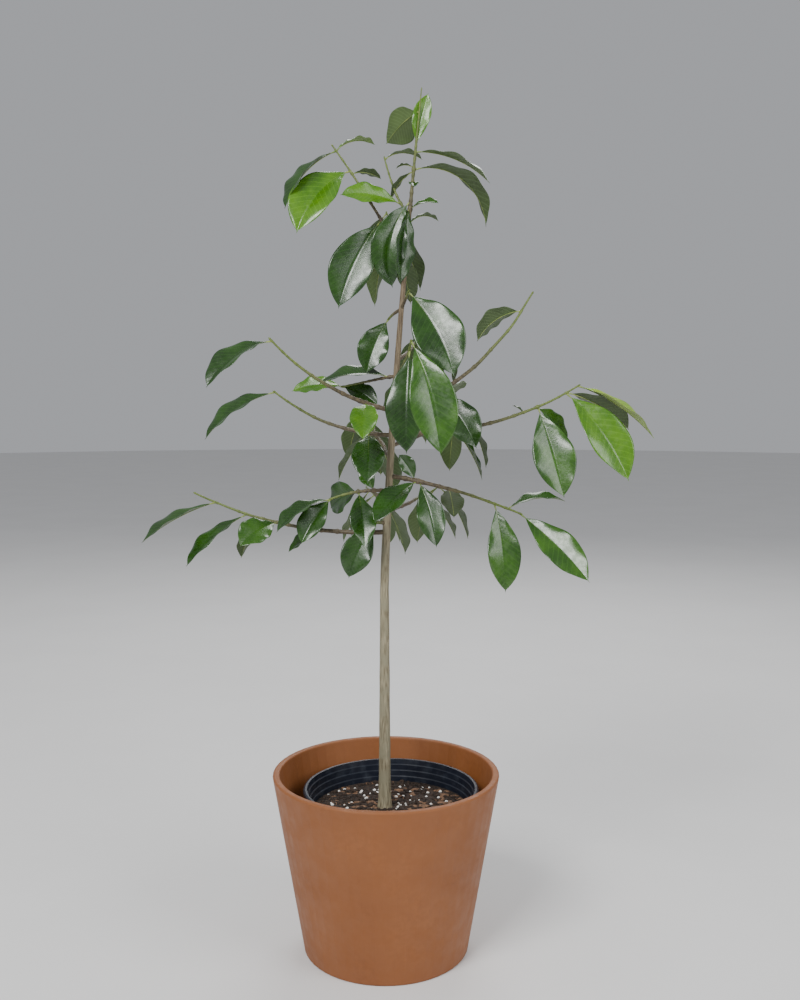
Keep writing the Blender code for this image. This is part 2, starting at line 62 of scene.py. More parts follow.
# Trunk: upright at first, then leaning right
TRUNK_FOOT_X = -0.002
TRUNK_BEND_START = 0.55
TRUNK_LEAN = 0.053
TRUNK_LEAN_HEIGHT = 0.714
TRUNK_LEAN_POWER = 1.35
TRUNK_SWAY = 0.005
TRUNK_SWAY_LENGTH = 0.6
TRUNK_TOP = 1.078
TRUNK_FOOT_RADIUS = 0.0093
TRUNK_TOP_RADIUS = 0.0030
TRUNK_TAPER_POWER = 0.9
TRUNK_FLARE = 0.0026
TRUNK_FLARE_HEIGHT = 0.010

# Shoots
SHOOT_SUMS = 16
SHOOT_SWAY = 0.0015
SHOOT_SWAY_LENGTH = 0.09

# Leaves
STALK_SHARE = 0.07
LEAF_FOLD = 16
LEAF_SUMS = 32
LEAF_WIDEST_POWER = 1.2
LEAF_FULLNESS = 0.8
LEAF_BODY_END = 0.97
LEAF_TIP_SLOPE = 1.1

Shoot = namedtuple("Shoot", "foot heading rise tip_rise length foot_radius tip_radius")
Leaf = namedtuple("Leaf", "place heading pitch length roll arch width tone")


def leaf(place, heading, pitch, length, roll=0, arch=30, width=0.40, tone="deep"):
    """A leaf: its place along its shoot, where it heads, how its chord climbs, its length, roll and tone."""
    return Leaf(place, heading, pitch, length, roll, arch, width, tone)


# Height of the foot on the trunk, heading, climb at the foot and tip, length, radii at the foot and tip
SHOOTS = {
    "leader": Shoot(TRUNK_TOP, 0, 90, 90, 0.190, 0.0029, 0.0008),
    "top_back": Shoot(1.093, 150, 50, 78, 0.095, 0.0020, 0.0010),
    "top_left": Shoot(1.027, 170, 61, 54, 0.198, 0.0028, 0.0011),
    "front_high": Shoot(0.960, 285, 45, 10, 0.050, 0.0022, 0.0012),
    "back_high": Shoot(0.960, 125, -15, -30, 0.036, 0.0022, 0.0012),
    "front": Shoot(0.830, 281, 38, 26, 0.150, 0.0032, 0.0014),
    "right_high": Shoot(0.806, 28, 18, 57, 0.312, 0.0040, 0.0014),
    "right": Shoot(0.781, 12, -3, 30, 0.300, 0.0042, 0.0013),
    "right_low": Shoot(0.718, -12, -8, -22, 0.200, 0.0036, 0.0014),
    "left_high": Shoot(0.813, 195, 12, 47, 0.210, 0.0036, 0.0014),
    "left_back": Shoot(0.864, 145, -8, -10, 0.100, 0.0024, 0.0012),
    "left": Shoot(0.778, 165, 0, 38, 0.196, 0.0034, 0.0014),
    "left_inner": Shoot(0.696, 172, 4, -22, 0.090, 0.0030, 0.0014),
    "front_low": Shoot(0.648, 205, 10, 0, 0.020, 0.0022, 0.0013),
    "left_low": Shoot(0.635, 176, -4, 26, 0.294, 0.0038, 0.0013),
    "back_top": Shoot(1.000, 100, 34, 44, 0.190, 0.0028, 0.0012),
    "back_middle": Shoot(0.885, 76, 12, 24, 0.235, 0.0032, 0.0013),
    "back": Shoot(0.800, 84, 18, 32, 0.225, 0.0034, 0.0013),
    "back_right": Shoot(0.762, 58, 8, 14, 0.225, 0.0034, 0.0013),
    "back_left": Shoot(0.745, 102, 12, 24, 0.215, 0.0034, 0.0013),
    "back_low": Shoot(0.690, 100, -8, 4, 0.220, 0.0036, 0.0013),
    "back_low_right": Shoot(0.665, 64, 4, 10, 0.190, 0.0034, 0.0013),
}

# Each leaf's tone is partly painted light: leaves that catch the light are given the green or bright tone,
# shaded ones the deep tone.
LEAVES = {
    "leader": [
        leaf(0.160, 125, -20, 0.090, roll=68, width=0.60, tone="green"),
        leaf(0.112, 20, 76, 0.078, roll=65, arch=10, width=0.36, tone="bright"),
        leaf(0.105, 350, -24, 0.120, roll=5, arch=45, tone="green"),
        leaf(0.080, 15, -35, 0.155, arch=105, width=0.36),
        leaf(0.025, 330, 5, 0.048, roll=30, arch=50, tone="green"),
        leaf(0.003, 20, 8, 0.052, arch=90),
        leaf(0.082, 170, 0, 0.028, arch=80),
        leaf(0.078, 150, -45, 0.055, arch=50, width=0.32),
        leaf(0.062, 275, -25, 0.025, width=0.60),
        leaf(0.036, 205, -77, 0.135, roll=-65, arch=65, width=0.40),
        leaf(0.030, 235, -78, 0.118, roll=-88, arch=30),
    ],
    "top_back": [
        leaf(0.094, 20, 3, 0.062, arch=70, tone="green"),
        leaf(0.022, 198, 5, 0.092, roll=-60, tone="bright"),
    ],
    "top_left": [
        leaf(0.190, 212, -47, 0.125, arch=45),
        leaf(0.190, 30, 13, 0.070, arch=65, tone="bright"),
        leaf(0.155, 222, -45, 0.142, roll=-38, arch=50, width=0.46, tone="bright"),
        leaf(0.150, 25, -5, 0.048, roll=-20, arch=50),
        leaf(0.070, 206, -62, 0.147, roll=-62, width=0.44),
    ],
    "front_high": [leaf(0.045, 318, -55, 0.148, roll=45, width=0.50)],
    "back_high": [leaf(0.034, 215, -64, 0.090, roll=-55, width=0.52)],
    "front": [
        leaf(0.150, 318, -71, 0.163, roll=48, width=0.40, tone="green"),
        leaf(0.125, 262, -78, 0.145, roll=10),
    ],
    "right_high": [
        leaf(0.080, 322, -48, 0.107, roll=50, width=0.50),
        leaf(0.105, 84, -8, 0.100, width=0.50, tone="green"),
        leaf(0.278, 190, -34, 0.088, roll=45, arch=60, width=0.50),
    ],
    "right": [
        leaf(0.205, 160, 30, 0.020, width=0.60),
        leaf(0.225, 35, -38, 0.085, roll=65, tone="green"),
        leaf(0.228, 308, -67, 0.145, roll=38, arch=8, width=0.45, tone="green"),
        leaf(0.277, 335, -53, 0.165, roll=50, tone="bright"),
        leaf(0.279, 20, -28, 0.125, roll=-20),
        leaf(0.300, 5, -34, 0.145, roll=12, tone="fresh"),
    ],
    "right_low": [
        leaf(0.038, 175, 58, 0.045, roll=-80, width=0.55),
        leaf(0.042, 225, -32, 0.105, roll=-25),
        leaf(0.045, 300, -62, 0.105, roll=30),
        leaf(0.090, 80, -38, 0.082, width=0.45),
        leaf(0.160, 298, -76, 0.130, roll=25, width=0.38, tone="green"),
        leaf(0.180, 10, 6, 0.090, roll=10, arch=50),
        leaf(0.200, 320, -37, 0.145, roll=40, arch=12, width=0.36, tone="green"),
    ],
    "left_high": [
        leaf(0.043, 268, -38, 0.085, arch=50, width=0.50, tone="bright"),
        leaf(0.207, 215, -33, 0.125, roll=-15, arch=50),
    ],
    "left_back": [
        leaf(0.010, 165, -6, 0.115, roll=-22, arch=42),
        leaf(0.098, 165, -5, 0.084, roll=-48, tone="bright"),
        leaf(0.100, 335, -24, 0.066, roll=60, width=0.50),
    ],
    "left": [leaf(0.035, 270, -43, 0.100, width=0.50), leaf(0.196, 180, -34, 0.130, roll=-25, arch=40)],
    "left_inner": [
        leaf(0.022, 150, 52, 0.040, roll=-60, width=0.60, tone="green"),
        leaf(0.045, 280, -50, 0.100),
        leaf(0.046, 130, -24, 0.075, roll=-80, width=0.70),
        leaf(0.088, 222, -48, 0.085, roll=-40, width=0.48),
        leaf(0.090, 210, -27, 0.100, roll=-10, arch=50),
    ],
    "front_low": [leaf(0.018, 200, -62, 0.092, roll=-68, width=0.52)],
    "left_low": [
        leaf(0.097, 170, -34, 0.062, roll=-40),
        leaf(0.165, 228, -22, 0.078, roll=-35, width=0.62, tone="green"),
        leaf(0.188, 140, -54, 0.080),
        leaf(0.212, 217, -35, 0.122, arch=25, width=0.37),
        leaf(0.262, 207, -26, 0.125, arch=25, width=0.37),
    ],
}

# The shoots at the back carry leaves by rule: how many, from what share of their length, and the seed
RULED_SHOOTS = {
    "back_top": (4, 0.55, 3),
    "back_middle": (5, 0.40, 7),
    "back": (5, 0.40, 8),
    "back_right": (3, 0.75, 13),
    "back_left": (4, 0.50, 21),
    "back_low": (5, 0.40, 34),
    "back_low_right": (3, 0.70, 55),
}
# A ruled leaf's turn from its shoot, climb, length, roll and width share
RULED_TURN = (35, 75)
RULED_PITCH = (-72, -52)
RULED_LENGTH = (0.088, 0.120)
RULED_ROLL = (-25, 25)
RULED_WIDTH = (0.38, 0.44)
LIMB_ROOM = 0.003
LEAF_ROOM = 0.010
TEST_SHARES = 10
TRUNK_TESTS = 200
SHOOT_TESTS = 60
RULED_TONES = ("deep", "green", "deep")


def direction(heading, pitch):
    """Unit vector that heads so many degrees in plan and climbs so many degrees."""
    h, p = math.radians(heading), math.radians(pitch)
    return np.array([math.cos(p) * math.cos(h), math.cos(p) * math.sin(h), math.sin(p)])


def trunk_point(height):
    """Centre of the trunk at a height."""
    rise = max(0.0, (height - TRUNK_BEND_START) / TRUNK_LEAN_HEIGHT)
    sway = TRUNK_SWAY * math.sin(math.pi * (height - SOIL_TOP) / TRUNK_SWAY_LENGTH) ** 2
    return np.array([TRUNK_FOOT_X + TRUNK_LEAN * rise**TRUNK_LEAN_POWER, sway, height])


def trunk_radius(height):
    """Radius of the trunk at a height, with the flare at its foot."""
    share = (height - SOIL_TOP) / (TRUNK_TOP - SOIL_TOP)
    flare = TRUNK_FLARE * math.exp(-(height - SOIL_TOP) / TRUNK_FLARE_HEIGHT)
    taper = (TRUNK_TOP_RADIUS - TRUNK_FOOT_RADIUS) * share**TRUNK_TAPER_POWER
    return TRUNK_FOOT_RADIUS + taper + flare


def shoot_point(name, place):
    """Centre of a shoot at a distance along it."""
    shoot = SHOOTS[name]
    if name == "leader":
        return trunk_point(shoot.foot + place)
    point = trunk_point(shoot.foot)
    for step in range(SHOOT_SUMS):
        share = place / shoot.length * (step + 0.5) / SHOOT_SUMS
        pitch = shoot.rise + (shoot.tip_rise - shoot.rise) * share
        point = point + direction(shoot.heading, pitch) * place / SHOOT_SUMS
    across = direction(shoot.heading + 90, 0)
    return point + across * SHOOT_SWAY * math.sin(2 * math.pi * place / SHOOT_SWAY_LENGTH)


def shoot_radius(name, place):
    """Radius of a shoot at a distance along it."""
    shoot = SHOOTS[name]
    return shoot.foot_radius + (shoot.tip_radius - shoot.foot_radius) * place / shoot.length


def leaf_frame(base, blade, shares):
    """Points on a leaf's midrib at shares of its length, with the sideways and the upward directions."""
    fine = np.linspace(0.0, 1.0, LEAF_SUMS + 1)
    pitch = np.radians(blade.pitch + blade.arch * (0.5 - fine))
    heading = math.radians(blade.heading)
    flat = np.array([math.cos(heading), math.sin(heading), 0.0])
    along = np.outer(np.cos(pitch), flat) + np.outer(np.sin(pitch), (0.0, 0.0, 1.0))
    steps = (along[1:] + along[:-1]) / 2 * blade.length / LEAF_SUMS
    line = base + np.vstack([np.zeros(3), np.cumsum(steps, axis=0)])
    points = np.stack([np.interp(shares, fine, line[:, axis]) for axis in range(3)], axis=1)
    tangents = np.stack([np.interp(shares, fine, along[:, axis]) for axis in range(3)], axis=1)
    level = np.array([-math.sin(heading), math.cos(heading), 0.0])
    roll = math.radians(blade.roll)
    side = level * math.cos(roll) + np.cross(tangents, level) * math.sin(roll)
    return points, side, np.cross(tangents, side)


def half_width(blade, shares):
    """Half a leaf's width: a wedge at the base, widest past the middle, with a short sharp tip."""
    share = np.clip((np.asarray(shares) - STALK_SHARE) / (1 - STALK_SHARE), 0.0, 1.0)
    swell = np.clip(share / LEAF_BODY_END, 0.0, 1.0) ** LEAF_WIDEST_POWER
    body = np.sin(np.pi * swell).clip(0.0) ** LEAF_FULLNESS
    tip = LEAF_TIP_SLOPE * (1 - share) * (share > 0.5)
    return blade.length * blade.width / 2 * np.maximum(body, tip)


def blade_points(name, blade):
    """Points spread over a leaf, to tell whether it touches something."""
    shares = np.linspace(0.1, 1.0, TEST_SHARES)
    points, side, normal = leaf_frame(shoot_point(name, blade.place), blade, shares)
    reach = half_width(blade, shares)[:, None]
    out = side * reach * math.cos(math.radians(LEAF_FOLD))
    rise = normal * reach * math.sin(math.radians(LEAF_FOLD))
    return np.vstack([points + out * across + rise * abs(across) for across in (-1.0, -0.5, 0.0, 0.5, 1.0)])


def limb_points():
    """Points along the trunk and every shoot, each with the limb's radius."""
    points = [trunk_point(height) for height in np.linspace(SOIL_TOP, TRUNK_TOP, TRUNK_TESTS)]
    radii = [trunk_radius(point[2]) for point in points]
    for name, shoot in SHOOTS.items():
        for place in np.linspace(0.0, shoot.length, SHOOT_TESTS):
            points.append(shoot_point(name, place))
            radii.append(shoot_radius(name, place))
    return np.array(points), np.array(radii)


def gap(first, second):
    """Distances between every point of one set and every point of another."""
    return np.linalg.norm(first[:, None, :] - second[None, :, :], axis=2)


def ruled_leaves(name, taken, limbs):
    """Leaves along a shoot's outer part, left and right in turn, without those that would touch something."""
    count, first_share, seed = RULED_SHOOTS[name]
    shoot = SHOOTS[name]
    dice = random.Random(seed)
    leaves = []
    for index in range(count):
        place = shoot.length * (first_share + (1 - first_share) * index / (count - 1))
        turn = dice.uniform(*RULED_TURN) * (1 if index % 2 else -1)
        blade = leaf(place, shoot.heading + turn, dice.uniform(*RULED_PITCH), dice.uniform(*RULED_LENGTH))
        blade = blade._replace(roll=dice.uniform(*RULED_ROLL), width=dice.uniform(*RULED_WIDTH))
        blade = blade._replace(tone=RULED_TONES[index % len(RULED_TONES)])
        points = blade_points(name, blade)
        near_limb = (gap(points, limbs[0]) - limbs[1]).min() < LIMB_ROOM
        if near_limb or gap(points, taken).min() < LEAF_ROOM:
            continue
        leaves.append(blade)
        taken = np.vstack([taken, points])
    return leaves, taken


def all_leaves():
    """Every shoot's leaves: those listed, and then those that follow the rule."""
    limbs = limb_points()
    leaves = dict(LEAVES)
    taken = np.vstack([blade_points(name, blade) for name in leaves for blade in leaves[name]])
    for name in RULED_SHOOTS:
        leaves[name], taken = ruled_leaves(name, taken, limbs)
    return leaves


# Linear colours, a dark and a light one for each mottled surface
# The deep, green and bright tones are partly the leaves' own differences in green and partly painted light
# and shade, as lit and shaded copies of one green. Fresh is the young leaves' own yellow-green.
LEAF_TONES = {
    "deep": ((0.008, 0.036, 0.0012), (0.018, 0.068, 0.0022)),
    "green": ((0.016, 0.064, 0.0015), (0.036, 0.112, 0.0035)),
    "bright": ((0.040, 0.130, 0.0015), (0.085, 0.215, 0.004)),
    "fresh": ((0.180, 0.340, 0.004), (0.280, 0.440, 0.012)),
}
# The undersides take the same tones, so they carry the same painted light and shade.
UNDER_TONES = {
    "deep": (0.050, 0.085, 0.022),
    "green": (0.068, 0.112, 0.028),
    "bright": (0.110, 0.190, 0.032),
    "fresh": (0.220, 0.330, 0.050),
}
RIB_COLOURS = ((0.130, 0.200, 0.040), (0.300, 0.360, 0.090))
OLD_TWIG_COLOURS = ((0.050, 0.036, 0.020), (0.130, 0.100, 0.052))
YOUNG_TWIG_COLOURS = ((0.085, 0.120, 0.022), (0.150, 0.200, 0.040))
LOW_BARK_COLOURS = ((0.130, 0.105, 0.058), (0.330, 0.290, 0.190))
HIGH_BARK_COLOURS = ((0.085, 0.058, 0.032), (0.200, 0.150, 0.090))
BARK_BLOTCH = (0.235, 0.215, 0.140)
COVER_COLOURS = ((0.215, 0.070, 0.017), (0.275, 0.096, 0.027))
COVER_FRECKLE = (0.245, 0.083, 0.022)
NURSERY_COLOURS = ((0.006, 0.009, 0.018), (0.022, 0.028, 0.040))
SOIL_COLOURS = ((0.008, 0.005, 0.004), (0.050, 0.030, 0.019))
FLOOR_COLOURS = ((0.74, 0.735, 0.725), (0.76, 0.755, 0.745))

# A leaf's fine mesh: its rows lie closer together towards its ends, and its columns towards its edges
LEAF_ROWS = 44
LEAF_COLUMNS = 22
ROW_BUNCHING = 0.85
COLUMN_BUNCHING = 0.92
LEAF_HALF_THICKNESS = 0.00022
EDGE_THINNING = 8
EDGE_THICKNESS_SHARE = 0.25
BLADE_FOOT_REACH = 0.00072
BLADE_TIP_REACH = 0.0002
FOLD_CURVE = 0.35

# A leaf's side veins, the swellings between them and its wavy edge
VEINS_ALONG = 13.75
VEIN_SLANT = 13.31
PUCKER = 0.00035
PUCKER_LEVEL = 0.6
PUCKER_RIB_FADE = 6
PUCKER_EDGE_FADE = 4
PUCKER_FULL_REACH = 0.008
EDGE_WAVE = 0.0016
EDGE_WAVE_COUNT = (2.2, 3.6)
EDGE_WAVE_OFFSET = 1.7
EDGE_WAVE_FULL_REACH = 0.015

# A leaf's stalk and midrib
RIB_SIDES = 8
RIB_ROWS = 26
RIB_END = 0.985
RIB_SINK = 0.55
STALK_FOOT_RADIUS = 0.0015
STALK_RADIUS = 0.0012
RIB_RADIUS = 0.00075
RIB_TIP_RADIUS = 0.00022

# Heights on the trunk from which shoots carry the middle and the upper leaves
MIDDLE_FROM = 0.74
UPPER_FROM = 0.9

# Twigs, with a swelling at each leaf and at some bare shares of the length, and a bud at the tip
TWIG_SIDES = 12
TWIG_STEP = 0.0022
TWIG_GRAIN = (900, 0.9, 50)
TWIG_RELIEF = 0.0001
NODE_SWELL = 0.30
NODE_LENGTH = 0.0022
BARE_NODES = (0.12, 0.25, 0.38, 0.5, 0.63, 0.76, 0.88)
# How green a shoot already is at its foot, where it isn't brown
YOUNG_SHOOTS = {"leader": 0.35, "top_back": 0.6}
BUD_LENGTH = 0.0045
BUD_SINK = 0.2
BUD_AIM = 0.004
BUD_STEPS = (0.0, 0.25, 0.6, 0.85, 1.0)
BUD_SWELLS = (0.9, 1.25, 1.0, 0.5, 0.12)
BUD_SIDES = 10

# Bark: upright grain and broader lumps, with the trunk's foot sunk in the soil
BARK_SIDES = 44
BARK_STEP = 0.0026
BARK_RELIEF = 0.00032
BARK_GRAIN_ROUND = 5.0
BARK_GRAIN_HEIGHT = 34
BARK_LUMP_HEIGHT = 30
BARK_LUMP_SHARE = 1.1
TRUNK_SINK = 0.004

# Bits on the soil: finish, count, smallest and largest size, flatness, stretch, colours, roughness and seed
Bits = namedtuple("Bits", "finish count sizes flat stretch colours roughness seed")
SOIL_BITS = {
    "soil_crumbs": Bits(
        "crumb", 900, (0.0012, 0.0045), 0.7, 1.0, ((0.010, 0.006, 0.004), (0.045, 0.026, 0.016)), 0.95, 4
    ),
    "bark_chips": Bits(
        "bark_chip", 150, (0.0020, 0.0060), 0.35, 1.8, ((0.075, 0.038, 0.020), (0.240, 0.130, 0.070)), 0.9, 9
    ),
    "perlite": Bits(
        "perlite_bit", 150, (0.0012, 0.0028), 0.8, 1.0, ((0.62, 0.60, 0.56), (0.85, 0.83, 0.79)), 0.8, 16
    ),
}
BIT_ROUNDNESS = 2
BIT_LUMPS = 0.45
BIT_LUMP_SIZE = 1.3
BIT_LUMP_SHIFT = 90
BIT_LIFT = (-0.2, 0.4)
TRUNK_ROOM = 0.013

# Studio: the floor, the light all round, and each lamp's place, size and power
Lamp = namedtuple("Lamp", "place size power")
FLOOR_RADIUS = 14.0
FLOOR_SIDES = 96
STUDIO_COLOUR = (0.93, 0.95, 1.0, 1.0)
STUDIO_STRENGTH = 0.42
LAMPS = {
    "key": Lamp((-1.6, -2.6, 3.2), 1.6, 150.0),
    "fill": Lamp((2.6, -1.8, 2.2), 2.0, 60.0),
    "rim": Lamp((0.4, 2.6, 2.8), 1.8, 50.0),
}
LAMP_TARGET = (0.0, 0.0, 0.6)

# The colour mix node's sockets
MIX_FACTOR = 0
MIX_COLOURS = (6, 7)
MIX_RESULT = 2


def mesh_from_arrays(name, vertices, faces, materials, slots, attributes):
    """One smooth mesh object from arrays, with its materials and per-point values."""
    mesh = bpy.data.meshes.new(name)
    mesh.from_pydata(vertices.tolist(), [], faces)
    for finish in materials:
        mesh.materials.append(finish)
    mesh.polygons.foreach_set("material_index", slots)
    for label, values in attributes.items():
        layer = mesh.attributes.new(label, "FLOAT", "POINT")
        layer.data.foreach_set("value", np.asarray(values, dtype=np.float32))
    mesh.polygons.foreach_set("use_smooth", np.ones(len(mesh.polygons), dtype=bool))
    mesh.update()
    obj = bpy.data.objects.new(name, mesh)
    bpy.context.scene.collection.objects.link(obj)
    return obj


def grid_faces(rows, columns, first, flipped):
    """Quads of a grid of points, row by row."""
    row, column = np.meshgrid(np.arange(rows - 1), np.arange(columns - 1), indexing="ij")
    corner = first + row * columns + column
    quads = np.stack([corner, corner + 1, corner + columns + 1, corner + columns], axis=-1).reshape(-1, 4)
    return quads[:, ::-1] if flipped else quads


def rim_faces(rows, columns):
    """Quads round the edge of a grid of points, from its upper sheet to its lower one."""
    ring = [(0, column) for column in range(columns)]
    ring += [(row, columns - 1) for row in range(1, rows)]
    ring += [(rows - 1, column) for column in range(columns - 2, -1, -1)]
    ring += [(row, 0) for row in range(rows - 2, 0, -1)]
    ids = np.array([row * columns + column for row, column in ring])
    after = np.roll(ids, -1)
    count = rows * columns
    return np.stack([ids, after, after + count, ids + count], axis=-1)


def row_shares():
    """Shares of a leaf's length at which its rows of points lie."""
    even = np.linspace(0.0, 1.0, LEAF_ROWS)
    bunched = 0.5 - 0.5 * np.cos(np.pi * even)
    shares = STALK_SHARE + (1.0 - STALK_SHARE) * (ROW_BUNCHING * bunched + (1 - ROW_BUNCHING) * even)
    shares[0], shares[-1] = STALK_SHARE, 1.0
    return shares


def leaf_relief(body, across, reach, length, seed):
    """How far a leaf's points stand off its flat plan, and the vein value, whole on each side vein."""
    dice = random.Random(seed)
    spread = np.abs(across)
    vein = body * VEINS_ALONG - spread * reach / length * VEIN_SLANT
    folded = reach * math.sin(math.radians(LEAF_FOLD)) * ((1 + FOLD_CURVE) * spread - FOLD_CURVE * spread**3)
    inner = np.clip(spread * PUCKER_RIB_FADE, 0, 1) * np.clip((1 - spread) * PUCKER_EDGE_FADE, 0, 1)
    inner = inner * np.clip(reach / PUCKER_FULL_REACH, 0, 1)
    pucker = (np.abs(np.sin(np.pi * vein)) - PUCKER_LEVEL) * PUCKER * inner
    waves = dice.uniform(*EDGE_WAVE_COUNT)
    offset = dice.uniform(0, math.tau)
    wave = np.sin(body * waves * math.tau + offset + (across > 0) * EDGE_WAVE_OFFSET)
    edge = wave * EDGE_WAVE * spread**3 * np.clip(reach / EDGE_WAVE_FULL_REACH, 0, 1)
    return folded + pucker + edge, vein


def leaf_sheet(base, blade, seed):
    """A leaf's two sheets, joined round its edge, with which faces lie under and the vein values."""
    shares = row_shares()
    points, side, normal = leaf_frame(base, blade, shares)
    reach = half_width(blade, shares)[:, None]
    reach[0] = BLADE_FOOT_REACH
    reach[-1] = BLADE_TIP_REACH
    across = np.linspace(-1.0, 1.0, LEAF_COLUMNS + 1)
    across = (np.sign(across) * np.abs(across) ** COLUMN_BUNCHING)[None, :]
    body = ((shares - STALK_SHARE) / (1 - STALK_SHARE))[:, None]
    lift, vein = leaf_relief(body, across, reach, blade.length, seed)
    out = across * reach * math.cos(math.radians(LEAF_FOLD))
    middle = points[:, None, :] + side[:, None, :] * out[:, :, None] + normal[:, None, :] * lift[:, :, None]
    thinned = np.clip((1 - np.abs(across)) * EDGE_THINNING, EDGE_THICKNESS_SHARE, 1.0)
    thickness = normal[:, None, :] * LEAF_HALF_THICKNESS * thinned[:, :, None]
    rows, columns = lift.shape
    upper = grid_faces(rows, columns, 0, flipped=True)
    lower = grid_faces(rows, columns, rows * columns, flipped=False)
    rim = rim_faces(rows, columns)
    under = np.repeat([0, 1, 1], [len(upper), len(lower), len(rim)])
    vertices = np.vstack([(middle + thickness).reshape(-1, 3), (middle - thickness).reshape(-1, 3)])
    return vertices, np.vstack([upper, lower, rim]), under, np.tile(vein.reshape(-1), 2)


def tube(points, radii, sides, relief=None):
    """Points and faces of a tapering tube with closed ends, thickened at each point by relief where given."""
    points = np.asarray(points, dtype=float)
    tangents = np.gradient(points, axis=0)
    tangents /= np.linalg.norm(tangents, axis=1)[:, None]
    start = np.array((0.0, 1.0, 0.0)) if abs(tangents[0][2]) > 0.5 else np.array((0.0, 0.0, 1.0))
    across = np.cross(tangents[0], start)
    angles = np.linspace(0, math.tau, sides, endpoint=False)
    rings = []
    for index, (point, tangent, radius) in enumerate(zip(points, tangents, radii)):
        across = across - tangent * np.dot(across, tangent)
        across = across / np.linalg.norm(across)
        other = np.cross(tangent, across)
        reach = np.full(sides, radius) if relief is None else radius + relief[index]
        ahead = np.outer(np.cos(angles) * reach, across)
        aside = np.outer(np.sin(angles) * reach, other)
        rings.append(point + ahead + aside)
    return np.vstack(rings + [points[:1], points[-1:]]), tube_faces(len(points), sides)


def tube_faces(count, sides):
    """Quads between a tube's rings, and fans from its last two points over its ends."""
    faces = []
    start, end, last = count * sides, count * sides + 1, (count - 1) * sides
    for low in range(0, last, sides):
        high = low + sides
        for corner in range(sides):
            after = (corner + 1) % sides
            faces.append((low + corner, low + after, high + after, high + corner))
    for corner in range(sides):
        after = (corner + 1) % sides
        faces.append((after, corner, start))
        faces.append((last + corner, last + after, end))
    return faces


class Heap:
    """Gathers many small meshes into one."""

    def __init__(self):
        self.vertices, self.faces, self.slots, self.values, self.count = [], [], [], {}, 0

    def add(self, vertices, faces, slot=0, **values):
        """One more mesh, with one material slot or one for each face, and its per-point values."""
        self.vertices.append(vertices)
        self.faces += [tuple(int(corner) + self.count for corner in face) for face in faces]
        self.slots += np.broadcast_to(slot, len(faces)).tolist()
        for label, value in values.items():
            self.values.setdefault(label, []).append(np.broadcast_to(value, len(vertices)))
        self.count += len(vertices)

    def build(self, name, materials):
        """The gathered meshes as one object."""
        values = {label: np.concatenate(parts) for label, parts in self.values.items()}
        return mesh_from_arrays(name, np.vstack(self.vertices), self.faces, materials, self.slots, values)


class Finish:
    """A node material under way, on Object coordinates."""

    def __init__(self, name):
        self.material = bpy.data.materials.new(name)
        self.material.use_nodes = True
        self.tree = self.material.node_tree
        self.shader = self.tree.nodes["Principled BSDF"]
        self.place = self.node("ShaderNodeTexCoord").outputs["Object"]

    def feed(self, socket, value):
        """Joins a node's output to a socket, or sets the socket's own value."""
        if isinstance(value, bpy.types.NodeSocket):
            self.tree.links.new(value, socket)
        else:
            socket.default_value = value

    def node(self, kind, inputs=None, **settings):
        """A new node with its settings and inputs."""
        made = self.tree.nodes.new(kind)
        for key, value in settings.items():
            setattr(made, key, value)
        for key, value in (inputs or {}).items():
            self.feed(made.inputs[key], value)
        return made

    def noise(self, scale, detail=4.0):
        """Soft noise, as its value socket."""
        inputs = {"Vector": self.place, "Scale": scale, "Detail": detail, "Roughness": 0.55}
        return self.node("ShaderNodeTexNoise", inputs).outputs["Fac"]

    def ramp(self, value, low, high, low_to=0.0, high_to=1.0):
        """A smooth step from one value to another."""
        inputs = {"Value": value, "From Min": low, "From Max": high, "To Min": low_to, "To Max": high_to}
        return self.node("ShaderNodeMapRange", inputs, interpolation_type="SMOOTHSTEP").outputs["Result"]

    def patches(self, scale, detail=4.0, low=0.3, high=0.7, low_to=0.0, high_to=1.0):
        """Cloudy patches that go from one value to another."""
        return self.ramp(self.noise(scale, detail), low, high, low_to, high_to)

    def mix(self, factor, first, second):
        """A blend of two colours, as its colour socket."""
        made = self.node("ShaderNodeMix", data_type="RGBA")
        self.feed(made.inputs[MIX_FACTOR], factor)
        for socket, colour in zip(MIX_COLOURS, (first, second)):
            ready = isinstance(colour, bpy.types.NodeSocket)
            self.feed(made.inputs[socket], colour if ready else (*colour, 1.0))
        return made.outputs[MIX_RESULT]

    def side_veins(self, width):
        """1 on a side vein and 0 between, from the vein value on the leaf's points."""
        value = self.node("ShaderNodeAttribute", attribute_name="vein").outputs["Fac"]
        off = self.node("ShaderNodeMath", {0: value, 1: 0.5}, operation="PINGPONG").outputs[0]
        return self.ramp(off, 0.0, width, 1.0, 0.0)

    def colour(self, value):
        """The base colour."""
        self.feed(self.shader.inputs["Base Color"], value)

    def roughness(self, value):
        """The roughness, one value or a pattern."""
        self.feed(self.shader.inputs["Roughness"], value)

    def bump(self, strength, distance, height):
        """Fine relief from a height value."""
        made = self.node("ShaderNodeBump", {"Strength": strength, "Distance": distance, "Height": height})
        self.feed(self.shader.inputs["Normal"], made.outputs["Normal"])


def shade(colour, share, lift=0.0):
    """A colour made darker or lighter."""
    return tuple(value * share + lift for value in colour)


